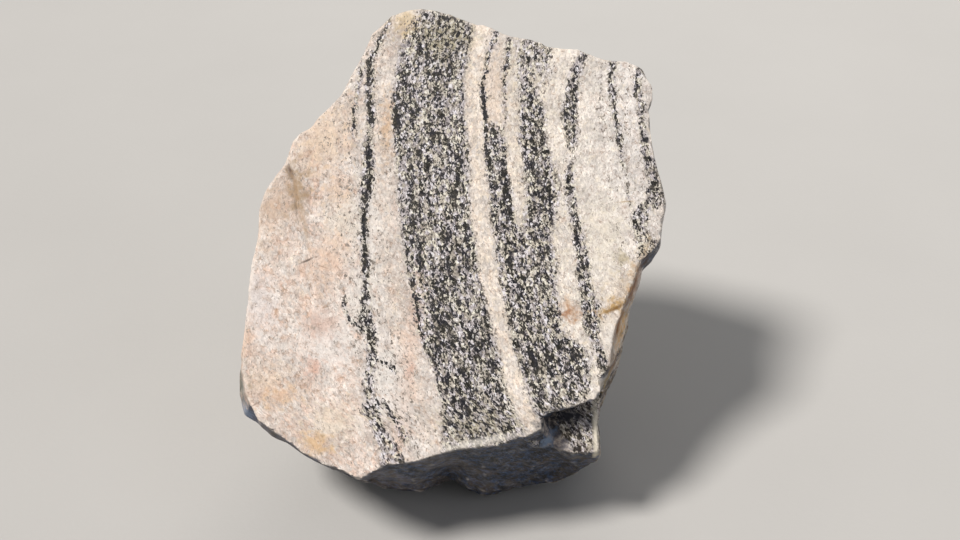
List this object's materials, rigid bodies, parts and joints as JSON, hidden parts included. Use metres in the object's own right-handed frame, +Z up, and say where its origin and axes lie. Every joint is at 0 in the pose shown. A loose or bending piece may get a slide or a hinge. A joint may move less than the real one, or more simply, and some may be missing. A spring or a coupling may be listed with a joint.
{
  "type": "gneiss specimen",
  "caption": "Rough block of banded gneiss with a flat, leaning front face and broken sides, resting on a small flat spot; a rock specimen for display.",
  "frame": {"origin": "centre of the bounding box at the level of the flat spot that the stone rests on", "axes": "+Z up; the banded face looks towards -Y and upwards, leaning back 45 degrees; +X to the right as seen facing the banded face"},
  "size_m": [0.19, 0.1696, 0.1993],
  "materials": {
    "gneiss": "dry, freshly broken gneiss: cream and pink feldspar with grey quartz, and dark speckled biotite bands"
  },
  "bodies": {
    "root": {"gneiss_block": "gneiss"}
  },
  "joints": []
}
